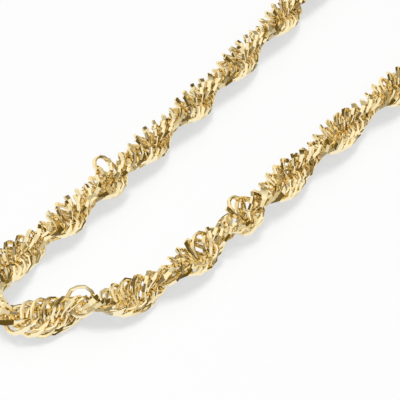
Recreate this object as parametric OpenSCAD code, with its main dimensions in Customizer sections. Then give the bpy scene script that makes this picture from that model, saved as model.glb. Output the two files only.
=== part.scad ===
// Twisted chain necklace, lying as a closed loop on a flat surface.
// X runs across the loop, Y from the tight bend to the clasp, Z up, in millimetres.

/* [Chain] */
// Width of the twisted band across its flat face
band_w = 2.9; // [2.7:0.1:3.1]
// Thickness of the band between its two flat faces
band_t = 1.6; // [1.4:0.1:1.8]
// Length over which the band narrows towards each end
taper_length = 3; // [2:0.5:6]
// Outer diameter of the round link soldered to each end
end_link_d = 2.2; // [2:0.1:2.4]
// Wire diameter of the end links
end_link_wire = 0.4; // [0.3:0.05:0.45]

/* [Jump rings] */
// Outer diameter of the two jump rings
ring_d = 3.3; // [3.2:0.1:3.6]
// Wire diameter of the two jump rings
ring_wire = 0.45; // [0.35:0.05:0.5]

/* [Clasp] */
// Outer diameter of the clasp's round body
clasp_d = 6; // [5:0.5:7]
// Thickness of the clasp's round body
clasp_wire = 1.1; // [0.9:0.1:1.2]
// Outer diameter of the eye soldered to the clasp
eye_d = 2.7; // [2.5:0.1:3]
// Wire diameter of the eye
eye_wire = 0.5; // [0.4:0.05:0.6]

/* [Hidden] */
$fn = 48;

// Height of the band's centre line, which all the other pieces share
centre_z = band_w / 2;
// The loop's far end is an arc about this point, and the clasp's pieces lie along it
far_radius = 32.3;
far_centre = [0, 68.2];
// Free play between two rings that hold each other
slack = 0.35;
// How far the band's end and the eye reach into what they are soldered to
end_overlap = 0.1;
eye_overlap = 0.4;

// Places of the clasp's pieces: distances along the far arc, from the loop's middle line to the right.
// Two rings that hold each other lie their mean diameter apart, less both wires and the slack.
function reach(d1, wire1, d2, wire2) = (d1 + d2) / 2 - wire1 - wire2 - slack;
eye_offset = (clasp_d + eye_d) / 2 - eye_overlap - eye_wire;
clasp_at = 1.2;
left_ring_at = clasp_at - eye_offset - reach(eye_d, eye_wire, ring_d, ring_wire);
left_link_at = left_ring_at - reach(end_link_d, end_link_wire, ring_d, ring_wire);
left_end_at = left_link_at - end_link_d / 2 + end_link_wire - end_overlap;
right_ring_at = clasp_at + reach(clasp_d, clasp_wire, ring_d, ring_wire);
right_link_at = right_ring_at + reach(end_link_d, end_link_wire, ring_d, ring_wire);
right_end_at = right_link_at + end_link_d / 2 - end_link_wire + end_overlap;

function turn_at(distance) = distance / far_radius * 180 / PI;
function far_point(distance) =
    far_centre + far_radius * [sin(turn_at(distance)), cos(turn_at(distance))];

// The band's centre line seen from above: [across, away], from its left end round the tight bend.
// It is a smooth curve through these points.
route = [
    far_point(left_end_at),
    [-12.4, 98], [-22.8, 91], [-29.8, 80.6], [-32.3, 68.2], [-31.5, 53], [-29.3, 37], [-26, 21],
    [-22, 5], [-18, -10], [-14.3, -24], [-11.1, -36], [-8.8, -46], [-7.5, -54], [-6.8, -61],
    [-6.3, -68], [-6, -75], [-5.8, -82], [-5.7, -89], [-5.8, -94.5], [-5.9, -98.5], [-4.6, -101.4],
    [-1.9, -102.2], [0.1, -100.6], [1.8, -98.2], [3.5, -96], [4.6, -92.8], [5.2, -88], [5.6, -82],
    [5.8, -75], [6.1, -68], [6.7, -61], [7.5, -54], [8.8, -46], [11.1, -36], [14.3, -24],
    [18, -10], [22, 5], [26, 21], [29.3, 37], [31.5, 53], [32.3, 68.2], [29.8, 80.6], [22.8, 91],
    [12.4, 98],
    far_point(right_end_at)
];

// Point at t, from 0 to 1, between points k and k + 1 of list p, on a smooth curve through them all
function curve_point(p, k, t) =
    let (
        b = p[k],
        c = p[k + 1],
        a = k > 0 ? p[k - 1] : 2 * b - c,
        d = k + 2 < len(p) ? p[k + 2] : 2 * c - b
    )
    b + 0.5 * t * (c - a + t * (2 * a - 5 * b + 4 * c - d + t * (3 * (b - c) + d - a)));

// The centre line as a list of points about point_gap apart
point_gap = 1;
centres = [
    for (k = [0 : len(route) - 2])
        let (steps = round(norm(route[k + 1] - route[k]) / point_gap))
            for (j = [0 : steps - 1]) curve_point(route, k, j / steps),
    route[len(route) - 1]
];
last = len(centres) - 1;
function gap_after(i) = i < last ? norm(centres[i + 1] - centres[i]) : 0;
distances = [for (i = 0, s = 0; i <= last; s = s + gap_after(i), i = i + 1) s];
chain_length = distances[last];

// Twist of the band: [distance along the chain, half turns so far].
// It is even where the chain runs free, and uneven along both sides of the tight bend.
twist = [
    [0, 0], [177.2, 24.3], [185.2, 25.3], [191.9, 26.3], [198.4, 27.3], [203.3, 28.3], [209.3, 29.3],
    [226.4, 31.76], [232.9, 32.7], [240, 33.7], [244.3, 34.7], [251.9, 35.7], [259.9, 36.7],
    [chain_length, 62]
];

// Outline of the band's section: [share of the width, share of the thickness].
// Its four outer corners lie on a circle as wide as the band, which rolls along the surface.
rim_share = 0.2;
corner_share = sqrt(0.25 - pow(rim_share * band_t / band_w, 2));
section = [
    [corner_share, rim_share], [0.34, 0.5], [-0.34, 0.5], [-corner_share, rim_share],
    [-corner_share, -rim_share], [-0.34, -0.5], [0.34, -0.5], [corner_share, -rim_share]
];
sides = len(section);

// The section's size at a distance along the chain: two thirds at an end, whole beyond the taper
function fullness(s) = min(1, (2 + min(s, chain_length - s) / taper_length) / 3);

// Direction of the centre line at point i
function heading(i) =
    let (step = centres[min(i + 1, last)] - centres[max(i - 1, 0)])
    step / norm(step);

// Points of the section round point i, turned about the centre line by the band's twist there
function section_points(i) =
    let (
        angle = 180 * lookup(distances[i], twist),
        left = [-heading(i).y, heading(i).x, 0],
        up = [0, 0, 1],
        across = band_w * fullness(distances[i]) * (cos(angle) * left + sin(angle) * up),
        through = band_t * fullness(distances[i]) * (cos(angle) * up - sin(angle) * left)
    )
    [for (q = section) [centres[i].x, centres[i].y, centre_z] + q.x * across + q.y * through];

module band() {
    points = [for (i = [0 : last]) each section_points(i)];
    walls = [
        for (i = [0 : last - 1], j = [0 : sides - 1])
            let (a = i * sides + j, b = i * sides + (j + 1) % sides)
                each [[a, b + sides, b], [a, a + sides, b + sides]]
    ];
    first_cap = [for (j = [0 : sides - 1]) j];
    last_cap = [for (j = [sides - 1 : -1 : 0]) last * sides + j];
    polyhedron(points, concat([first_cap], walls, [last_cap]));
}

// Puts a piece on the far arc, level with the band's centre line
module on_far_arc(distance) {
    translate([far_centre.x, far_centre.y, centre_z])
        rotate(-turn_at(distance))
            translate([0, far_radius, 0])
                children();
}

module round_ring(d, wire) {
    rotate_extrude()
        translate([(d - wire) / 2, 0])
            circle(d = wire);
}

// A jump ring leans about the chain's line, so that its lower side touches the surface
module leaning_ring() {
    lean = asin((centre_z - ring_wire / 2) / ((ring_d - ring_wire) / 2));
    rotate([lean, 0, 0])
        round_ring(ring_d, ring_wire);
}

// Band of interlinked links, as one solid, with the round link soldered to each end
module chain() {
    color("gold") {
        band();
        on_far_arc(left_link_at) round_ring(end_link_d, end_link_wire);
        on_far_arc(right_link_at) round_ring(end_link_d, end_link_wire);
    }
}

// Jump ring that joins the chain's left end to the clasp's eye
module left_ring() {
    color("goldenrod") on_far_arc(left_ring_at) leaning_ring();
}

// Plain closed clasp with the eye soldered to its left side
module clasp() {
    color("khaki") on_far_arc(clasp_at) {
        round_ring(clasp_d, clasp_wire);
        translate([-eye_offset, 0, 0]) round_ring(eye_d, eye_wire);
    }
}

// Jump ring at the chain's right end, held in the clasp
module right_ring() {
    color("goldenrod") on_far_arc(right_ring_at) leaning_ring();
}

chain();
left_ring();
clasp();
right_ring();
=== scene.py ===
import math

import bpy
import numpy as np
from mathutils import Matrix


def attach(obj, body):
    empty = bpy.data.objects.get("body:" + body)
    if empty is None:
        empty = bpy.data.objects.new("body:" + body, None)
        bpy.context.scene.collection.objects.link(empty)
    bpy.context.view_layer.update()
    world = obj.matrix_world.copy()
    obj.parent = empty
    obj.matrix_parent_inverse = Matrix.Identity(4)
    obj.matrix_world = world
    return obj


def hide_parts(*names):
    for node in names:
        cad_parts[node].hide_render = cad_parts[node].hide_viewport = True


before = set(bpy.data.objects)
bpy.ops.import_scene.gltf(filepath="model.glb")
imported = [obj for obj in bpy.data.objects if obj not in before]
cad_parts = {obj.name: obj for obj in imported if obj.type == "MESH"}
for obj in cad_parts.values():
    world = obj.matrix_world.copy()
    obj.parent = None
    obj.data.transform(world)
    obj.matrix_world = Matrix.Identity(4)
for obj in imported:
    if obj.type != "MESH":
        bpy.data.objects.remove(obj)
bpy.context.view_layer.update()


# The table, the view and the light
# The necklace lies on a plain white table under a pale studio sky and one soft box. The camera looks down
# across the tight bend from the front right, close up, so that both strands run off to the upper right.
MM = 0.001

# The camera: the point it looks at in millimetres, its turn and its height above the table in degrees,
# its distance from that point, its lens and sensor, and the nearest and farthest that it sees, in metres
VIEW_AIM = (0.72, -82.06, 0.2)
VIEW_TURN, VIEW_HEIGHT, VIEW_DISTANCE = 35.0, 40.0, 152.0
LENS, SENSOR = 171.0, 36.0
NEAREST, FARTHEST = 0.005, 5.0

turn, height = math.radians(VIEW_TURN), math.radians(VIEW_HEIGHT)
aim = np.array(VIEW_AIM) * MM
view_from = np.array([
    math.cos(height) * math.sin(turn), -math.cos(height) * math.cos(turn), math.sin(height),
])
camera = bpy.data.objects.new("camera", bpy.data.cameras.new("camera"))
camera.data.lens, camera.data.sensor_width = LENS, SENSOR
camera.data.clip_start, camera.data.clip_end = NEAREST, FARTHEST
camera.location = aim + VIEW_DISTANCE * MM * view_from
camera.rotation_euler = (math.pi / 2 - height, 0.0, turn)
bpy.context.scene.collection.objects.link(camera)
bpy.context.scene.camera = camera
bpy.context.scene.view_settings.view_transform = "Standard"

# The table: half its side in metres, its colour and roughness, and the glow that keeps it white without
# more light on the gold
TABLE_HALF = 1.5
TABLE_COLOUR, TABLE_ROUGHNESS = (0.22, 0.22, 0.2222, 1), 0.55
GLOW_COLOUR, GLOW_STRENGTH = (0.975, 1.0, 1.04, 1), 0.60

table_corners = TABLE_HALF * np.array([(-1, -1, 0), (1, -1, 0), (1, 1, 0), (-1, 1, 0)])
table_mesh = bpy.data.meshes.new("table")
table_mesh.from_pydata(table_corners.tolist(), [], [(0, 1, 2, 3)])
table = bpy.data.objects.new("table", table_mesh)
bpy.context.scene.collection.objects.link(table)
white = bpy.data.materials.new("white_table")
white.use_nodes = True
surface = white.node_tree.nodes["Principled BSDF"].inputs
surface["Base Color"].default_value = TABLE_COLOUR
surface["Emission Color"].default_value = GLOW_COLOUR
surface["Emission Strength"].default_value = GLOW_STRENGTH
surface["Roughness"].default_value = TABLE_ROUGHNESS
table_mesh.materials.append(white)

# The soft box: its place and width in millimetres, its power and its colour. It makes the shadows and
# isn't mirrored in the gold, which mirrors the sky and the table.
LAMP_PLACE, LAMP_WIDTH, LAMP_WATTS = (-45, -180, 460), 180, 2.3
LAMP_COLOUR = (1.0, 0.99, 0.97)

soft_box = bpy.data.lights.new("soft_box", "AREA")
soft_box.size, soft_box.energy, soft_box.color = LAMP_WIDTH * MM, LAMP_WATTS, LAMP_COLOUR
lamp = bpy.data.objects.new("soft_box", soft_box)
lamp.location = np.array(LAMP_PLACE) * MM
to_aim = aim - np.array(LAMP_PLACE) * MM
lamp.rotation_euler = (math.atan2(math.hypot(to_aim[0], to_aim[1]), -to_aim[2]), 0.0,
                       math.atan2(to_aim[1], to_aim[0]) - math.pi / 2)
lamp.visible_glossy = False
bpy.context.scene.collection.objects.link(lamp)

# The sky is dark and warm up to a low height and pale above a great one, as shares of the way to
# straight overhead. Its dark part gives the cut gold its dark sides.
SKY_LOW, SKY_LOW_AT = (0.115, 0.078, 0.017, 1), 0.26
SKY_HIGH, SKY_HIGH_AT = (1.0, 0.96, 0.85, 1), 0.85
SKY_STRENGTH = 1.09

world = bpy.data.worlds.new("studio")
world.use_nodes = True
bpy.context.scene.world = world
nodes, join = world.node_tree.nodes, world.node_tree.links.new
direction = nodes.new("ShaderNodeTexCoord")
parts = nodes.new("ShaderNodeSeparateXYZ")
ramp = nodes.new("ShaderNodeValToRGB")
join(direction.outputs["Generated"], parts.inputs[0])
join(parts.outputs["Z"], ramp.inputs["Fac"])
join(ramp.outputs["Color"], nodes["Background"].inputs["Color"])
low, high = ramp.color_ramp.elements
low.position, low.color = SKY_LOW_AT, SKY_LOW
high.position, high.color = SKY_HIGH_AT, SKY_HIGH
nodes["Background"].inputs["Strength"].default_value = SKY_STRENGTH


# The chain
# Small round links of gold wire, each passed through the next ones and soldered shut. They lie close
# together as a flat band, which is twisted to the right all along. A plain round link closes each end.
# All sizes are in millimetres.
BAND_WIDTH = 2.9
CENTRE_Z = BAND_WIDTH / 2

# The chain's route on the table: a smooth curve through these points, from the left end of the clasp
# round the tight bend to its right end. Both ends lie on the loop's far arc, this far along it from the
# loop's middle line.
FAR_RADIUS = 32.3
FAR_CENTRE = np.array([0.0, 68.2])
LEFT_END, RIGHT_END = -6.3, 6.3
ROUTE = [
    (-12.4, 98), (-22.8, 91), (-29.8, 80.6), (-32.3, 68.2), (-31.5, 53), (-29.3, 37), (-26, 21),
    (-22, 5), (-18, -10), (-14.3, -24), (-11.1, -36), (-8.8, -46), (-7.5, -54), (-6.8, -61),
    (-6.3, -68), (-6, -75), (-5.8, -82), (-5.7, -89), (-5.8, -94.5), (-5.9, -98.5), (-4.6, -101.4),
    (-1.9, -102.2), (0.1, -100.6), (1.8, -98.2), (3.5, -96), (4.6, -92.8), (5.2, -88), (5.6, -82),
    (5.8, -75), (6.1, -68), (6.7, -61), (7.5, -54), (8.8, -46), (11.1, -36), (14.3, -24),
    (18, -10), (22, 5), (26, 21), (29.3, 37), (31.5, 53), (32.3, 68.2), (29.8, 80.6), (22.8, 91),
    (12.4, 98),
]
STEPS_BETWEEN = 60


def far_point(distance):
    """Point on the loop's far arc, at a distance along it from the loop's middle line."""
    angle = distance / FAR_RADIUS
    return FAR_CENTRE + FAR_RADIUS * np.array([math.sin(angle), math.cos(angle)])


def smooth_line(points, steps):
    """Smooth curve through all the points: on each stretch a cubic in t that starts and ends with half
    the step between the points on either side."""
    p = np.vstack([2 * points[0] - points[1], points, 2 * points[-1] - points[-2]])
    a, b, c, d = (p[i:len(p) - 3 + i, None, :] for i in range(4))
    t = (np.arange(steps) / steps)[None, :, None]
    curve = b + 0.5 * t * (c - a + t * (2 * a - 5 * b + 4 * c - d + t * (3 * (b - c) + d - a)))
    return np.vstack([curve.reshape(-1, 2), points[-1:]])


line = smooth_line(np.array([far_point(LEFT_END)] + ROUTE + [far_point(RIGHT_END)]), STEPS_BETWEEN)
line_at = np.concatenate([[0.0], np.cumsum(np.linalg.norm(np.diff(line, axis=0), axis=1))])
line_step = np.gradient(line, line_at, axis=0)
CHAIN_LENGTH = line_at[-1]

# Twist of the band: distance along the chain, half turns so far
TWIST = np.array([
    (0, 0), (177.2, 24.3), (185.2, 25.3), (191.9, 26.3), (198.4, 27.3), (203.3, 28.3), (209.3, 29.3),
    (226.4, 31.76), (232.9, 32.7), (240, 33.7), (244.3, 34.7), (251.9, 35.7), (259.9, 36.7),
    (CHAIN_LENGTH, 62),
])

# Places of the links along the chain, between two bare ends. They lie in pairs, one link to each side of
# the band's middle: how far each is shifted across the band and raised through it, and how much closer
# the two are than even spacing.
LINK_PITCH, BARE_END = 0.36, 0.8
PAIR_SHIFT, PAIR_RISE, PAIR_CLOSE = 0.16, 0.14, 0.05

linked_length = CHAIN_LENGTH - 2 * BARE_END
count = int(round(linked_length / LINK_PITCH))
side = np.where(np.arange(count) % 2 == 0, 1.0, -1.0)
at = BARE_END + linked_length * (np.arange(count) + 0.5) / count + PAIR_CLOSE / 2 * side

# The band's own directions at each link: onward along the chain, across the band and through it
x, y = (np.interp(at, line_at, line[:, i]) for i in (0, 1))
step_x, step_y = (np.interp(at, line_at, line_step[:, i]) for i in (0, 1))
angle = math.pi * np.interp(at, TWIST[:, 0], TWIST[:, 1])
none = np.zeros(count)
onward = np.stack([step_x, step_y, none], -1) / np.hypot(step_x, step_y)[:, None]
left = np.stack([-onward[:, 1], onward[:, 0], none], -1)
up = np.stack([none, none, none + 1], -1)
across = left * np.cos(angle)[:, None] + up * np.sin(angle)[:, None]
through = up * np.cos(angle)[:, None] - left * np.sin(angle)[:, None]

# A link is free to lean on its neighbours. All of them lean the same way as seen on the table, in
# radians, more along one stretch than along another: distance, share of the full lean.
LEAN_TURN, LEAN_TILT = 0.30, 0.30
LEAN_ALONG = np.array([
    (0, 0.6), (170, 0.6), (178, 0.9), (205, 0.9), (215, 0.6), (221, 1.0), (240, 1.0), (247, 0.5),
    (262, 0.4), (280, 0.7), (CHAIN_LENGTH, 0.6),
])

# Each link and each pair also leans, turns and shifts a little by chance, and a few stretches near the
# tight bend are more untidy than the rest: distance, times the usual unevenness
ODD_LEAN, ODD_YAW, ODD_SHIFT = 0.05, 0.04, 0.03
PAIR_LEAN, PAIR_YAW = 0.08, 0.05
UNTIDY_ALONG = np.array([
    (0, 1), (195, 1), (199, 2.2), (204, 2.2), (207, 1), (212, 1.8), (215, 1), (231, 1), (235, 3),
    (243, 3), (246, 1), (CHAIN_LENGTH, 1),
])
chance = np.random.default_rng(7)


def uneven(size, each=1):
    """Uneven amounts about nought with this spread, cut off at twice the spread, alike for each group
    of neighbours."""
    draws = np.clip(chance.normal(0, size, count // each + 1), -2 * size, 2 * size)
    return np.repeat(draws, each)[:count]


def turned(axes, about, amount):
    """Axes turned about a line by an amount: the part along the line stays, and the rest turns."""
    about, amount = about[:, None, :], amount[:, None, None]
    along = (axes * about).sum(-1, keepdims=True) * about
    return along + (axes - along) * np.cos(amount) + np.cross(about, axes) * np.sin(amount)


lean = np.interp(at, LEAN_ALONG[:, 0], LEAN_ALONG[:, 1])
untidy = np.interp(at, UNTIDY_ALONG[:, 0], UNTIDY_ALONG[:, 1])
axes = np.stack([onward, across, through], 1)
axes = turned(axes, across, untidy * (uneven(ODD_LEAN) + uneven(PAIR_LEAN, 2)))
axes = turned(axes, through, untidy * (uneven(ODD_YAW) + uneven(PAIR_YAW, 2)))
axes = turned(axes, up, LEAN_TURN * lean)
axes = turned(axes, left, LEAN_TILT * lean * onward[:, 1])

# A few links have worked loose and stand out of the band: distance, roll about the chain in degrees,
# how far out, size
LOOSE = np.array([(200.3, 140, 1.25, 0.70), (225.2, 60, 0.55, 1.0), (241.8, 37, 1.05, 0.60)])

loose_at, loose_roll, loose_out, loose_size = (column[:, None] for column in LOOSE.T)
loose = np.abs(at - loose_at).argmin(axis=1)
roll = np.radians(loose_roll)
out_of_band = left[loose] * np.cos(roll) + up[loose] * np.sin(roll)
axes[loose] = np.stack([onward[loose], out_of_band, np.cross(onward[loose], out_of_band)], 1)
band_middle = np.stack([x, y, none + CENTRE_Z], -1)
middles = (band_middle + (PAIR_SHIFT * side + uneven(ODD_SHIFT))[:, None] * across
           + (PAIR_RISE * side)[:, None] * through)
middles[loose] = band_middle[loose] + loose_out * out_of_band

# Shape of a link: half its length along the band, half its width across it, and its warp, which is
# weaker or stronger along some stretches. Links are wider by the spread where the band lies flat.
LINK_LONG, LINK_WIDE, LINK_WARP = 1.05, 1.14, -0.31
WARP_ALONG = np.array([(0, 1), (218, 1), (222, 0.5), (238, 0.6), (246, 1.1), (CHAIN_LENGTH, 1)])
LINK_SPREAD = 0.08
ODD_LONG, ODD_WARP = 0.03, 0.02

# The wire is a flat six-sided bar: half its thickness and width, its six edges as shares of them, and
# the flat share of its width
HALF_THICK, HALF_WIDE, FLAT_SHARE = 0.14, 0.14, 0.75
AROUND, SIDES = 12, 6
EDGE_OUT = np.array([1, 1, 0, -1, -1, 0])
EDGE_ASIDE = np.array([-FLAT_SHARE, FLAT_SHARE, 1, FLAT_SHARE, -FLAT_SHARE, -1])
CREASE = 26

# The diamond tool cuts a facet on the outer side of both tips of a link: how deep and how much broader
# than the bar, as shares of its half thickness and width, and how far round it fades. Each link is cut by
# its own share, and whole cuts are rare.
CUT_DEPTH, CUT_FLARE, CUT_FADE = 0.6, 1.1, 4
CUT_IN = np.array([1, 1, 0, 0, 0, 0])
CUT_ASIDE = np.array([-1, 1, 0.5, 0, 0, -0.5])
CUT_RARITY = 3


def link_rings(long, wide, warp, cut):
    """Points of all the links, in each link's own axes. At turn t the wire's centre is at long cos t,
    wide sin t, warp sin 2t. Its section is a flat six-sided bar, square to the wire, with one flat side
    facing outwards. Towards the tips, as a high power of sin t, that side sinks by the link's cut and
    grows broader."""
    t = np.arange(AROUND) * 2 * math.pi / AROUND
    long, wide, warp = (v[:, None] for v in (long, wide, warp))
    centre = np.stack([long * np.cos(t), wide * np.sin(t), warp * np.sin(2 * t)], -1)
    run = np.stack([-long * np.sin(t), wide * np.cos(t), 2 * warp * np.cos(2 * t)], -1)
    run /= np.linalg.norm(run, axis=-1, keepdims=True)
    outward = np.stack([wide * np.cos(t), long * np.sin(t), 0 * long * t], -1)
    outward -= (outward * run).sum(-1, keepdims=True) * run
    outward /= np.linalg.norm(outward, axis=-1, keepdims=True)
    sideways = np.cross(run, outward)
    cut = cut[:, None, None] * (np.abs(np.sin(t)) ** CUT_FADE)[:, None]
    thick = HALF_THICK * (EDGE_OUT - CUT_DEPTH * cut * CUT_IN)
    broad = HALF_WIDE * (EDGE_ASIDE + CUT_FLARE * cut * CUT_ASIDE)
    return (centre[:, :, None] + thick[..., None] * outward[:, :, None]
            + broad[..., None] * sideways[:, :, None])


def ring_faces(rings, around, sides):
    """Four-sided faces of closed rings of points, numbered ring by ring, round each and round its wire."""
    i, j = np.meshgrid(np.arange(around), np.arange(sides), indexing="ij")
    k, l = (i + 1) % around, (j + 1) % sides
    quad = np.stack([i * sides + j, i * sides + l, k * sides + l, k * sides + j], -1).reshape(-1, 4)
    return (np.arange(rings)[:, None, None] * around * sides + quad).reshape(-1, 4)


def gold_piece(name, points, faces, crease):
    """New piece of gold from its points in millimetres, smooth but for the edges sharper than a crease
    in degrees."""
    mesh = bpy.data.meshes.new(name)
    mesh.from_pydata((points.reshape(-1, 3) * MM).tolist(), [], faces.tolist())
    mesh.polygons.foreach_set("use_smooth", np.ones(len(faces), bool))
    mesh.set_sharp_from_angle(angle=math.radians(crease))
    piece = bpy.data.objects.new(name, mesh)
    bpy.context.scene.collection.objects.link(piece)
    return piece


warp = LINK_WARP * np.interp(at, WARP_ALONG[:, 0], WARP_ALONG[:, 1])
warp[loose] = 0.0
wide = LINK_WIDE * (1 + LINK_SPREAD * np.cos(angle) ** 2)
size = np.ones(count)
size[loose] = loose_size[:, 0]
shapes = link_rings(LINK_LONG * size * (1 + uneven(ODD_LONG)), wide * size, warp + uneven(ODD_WARP),
                    chance.random(count) ** CUT_RARITY)
points = middles[:, None, None] + np.einsum("nabi,nij->nabj", shapes, axes)
# No link reaches below the table or above the band's width
points[..., 2] = np.clip(points[..., 2], 0.0, BAND_WIDTH)
links = gold_piece("chain_links", points, ring_faces(count, AROUND, SIDES), CREASE)

# How far each point of a link is diamond cut: wholly at the tips of its outer side, a little elsewhere on
# that side, half as much on the bar's two side edges and not on its inner side
CUT_LEAST, SHINE_FADE = 0.3, 6
CUT_SHARES = np.array([1.0, 1.0, 0.5, 0.0, 0.0, 0.5])

tips = np.abs(np.sin(np.arange(AROUND) * 2 * math.pi / AROUND)) ** SHINE_FADE
cut_side = np.tile((CUT_LEAST + (1 - CUT_LEAST) * tips[:, None]) * CUT_SHARES, (count, 1, 1)).ravel()
links.data.attributes.new("cut_side", "FLOAT", "POINT").data.foreach_set("value", cut_side)
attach(links, "root")
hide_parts("chain")

# Gold: its colour at a glancing angle, the size of its worn patches and of its polishing marks as
# patterns in a metre, the most wear, how much wear a cut side is spared, and how the marks stand up
EDGE_TONE = (1.0, 0.88, 0.62, 1)
PATCH_SCALE, PATCH_DETAIL = 900.0, 3.0
MOST_WEAR, CUT_SPARED = 0.7, 0.6
MARK_SCALE, MARK_DETAIL = 7000.0, 2.0
MARK_STRENGTH, MARK_HEIGHT = 0.25, 0.01


def gold_finish(name, dark, pale, smooth, worn, cut=None):
    """Polished gold. Its tone goes from pale to dark and its roughness from smooth to worn, in soft
    patches about a millimetre wide, and fine polishing marks raise it a little. Where the named value
    on the piece is one, it is pale and smooth, as the diamond tool leaves it."""
    finish = bpy.data.materials.new(name)
    finish.use_nodes = True
    nodes, join = finish.node_tree.nodes, finish.node_tree.links.new
    surface = nodes["Principled BSDF"].inputs
    surface["Metallic"].default_value = 1.0
    surface["Specular Tint"].default_value = EDGE_TONE
    place = nodes.new("ShaderNodeTexCoord").outputs["Object"]
    patches = nodes.new("ShaderNodeTexNoise")
    patches.inputs["Scale"].default_value = PATCH_SCALE
    patches.inputs["Detail"].default_value = PATCH_DETAIL
    join(place, patches.inputs["Vector"])
    wear = patches.outputs["Fac"]
    if cut:
        side = nodes.new("ShaderNodeAttribute")
        side.attribute_name = cut
        spared = nodes.new("ShaderNodeMath")
        spared.operation = "MULTIPLY_ADD"
        spared.inputs[1].default_value = -CUT_SPARED
        join(side.outputs["Fac"], spared.inputs[0])
        join(wear, spared.inputs[2])
        wear = spared.outputs[0]
    tone = nodes.new("ShaderNodeValToRGB")
    fresh, used = tone.color_ramp.elements
    fresh.position, fresh.color = 0.0, pale
    used.position, used.color = MOST_WEAR, dark
    join(wear, tone.inputs["Fac"])
    join(tone.outputs["Color"], surface["Base Color"])
    rough = nodes.new("ShaderNodeMapRange")
    rough.inputs["From Min"].default_value = 0.0
    rough.inputs["From Max"].default_value = MOST_WEAR
    rough.inputs["To Min"].default_value = smooth
    rough.inputs["To Max"].default_value = worn
    join(wear, rough.inputs["Value"])
    join(rough.outputs["Result"], surface["Roughness"])
    marks = nodes.new("ShaderNodeTexNoise")
    marks.inputs["Scale"].default_value = MARK_SCALE
    marks.inputs["Detail"].default_value = MARK_DETAIL
    join(place, marks.inputs["Vector"])
    raised = nodes.new("ShaderNodeBump")
    raised.inputs["Strength"].default_value = MARK_STRENGTH
    raised.inputs["Distance"].default_value = MARK_HEIGHT * MM
    join(marks.outputs["Fac"], raised.inputs["Height"])
    join(raised.outputs["Normal"], surface["Normal"])
    return finish


links.data.materials.append(gold_finish(
    "cut_gold", dark=(0.975, 0.835, 0.55, 1), pale=(0.97, 0.865, 0.585, 1), smooth=0.06, worn=0.20,
    cut="cut_side",
))


# The end links
# A plain round link of thicker gold wire is soldered shut through the last small links at each end of
# the band, level with its middle, and holds the jump ring there.
END_LINK_SIZE, END_LINK_WIRE, END_LINK_AT = 2.2, 0.4, 5.5
END_LINK_AROUND, END_LINK_SIDES, END_LINK_CREASE = 32, 10, 50


def level_ring(distance, d, wire, around, sides):
    """Round ring that lies level with the band's middle, at a distance along the far arc: a circle of
    half the wire carried round a circle of the ring's mean radius."""
    t = (np.arange(around) * 2 * math.pi / around)[:, None]
    u = (-(np.arange(sides) + 0.5) * 2 * math.pi / sides)[None, :]
    r = (d - wire) / 2 + wire / 2 * np.cos(u)
    right, on = r * np.cos(t), r * np.sin(t)
    c, s = math.cos(distance / FAR_RADIUS), math.sin(distance / FAR_RADIUS)
    middle = far_point(distance)
    return np.stack([middle[0] + right * c + on * s, middle[1] - right * s + on * c,
                     CENTRE_Z + wire / 2 * np.sin(u) + 0 * t], -1)


end_points = np.stack([
    level_ring(distance, END_LINK_SIZE, END_LINK_WIRE, END_LINK_AROUND, END_LINK_SIDES)
    for distance in (-END_LINK_AT, END_LINK_AT)
])
end_links = gold_piece("end_links", end_points, ring_faces(2, END_LINK_AROUND, END_LINK_SIDES),
                       END_LINK_CREASE)
plain = gold_finish("plain_gold", dark=(0.92, 0.73, 0.42, 1), pale=(0.94, 0.78, 0.47, 1),
                    smooth=0.08, worn=0.16)
end_links.data.materials.append(plain)
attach(end_links, "root")
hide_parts("chain")


# The jump rings and the clasp
# Two rings of round gold wire and a plain ring clasp with its soldered eye, bent round, soldered and
# polished bright. Their solids have the right shape, and only get their finish here.
for name in ("left_ring", "clasp", "right_ring"):
    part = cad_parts[name]
    part.data.materials.clear()
    part.data.materials.append(plain)
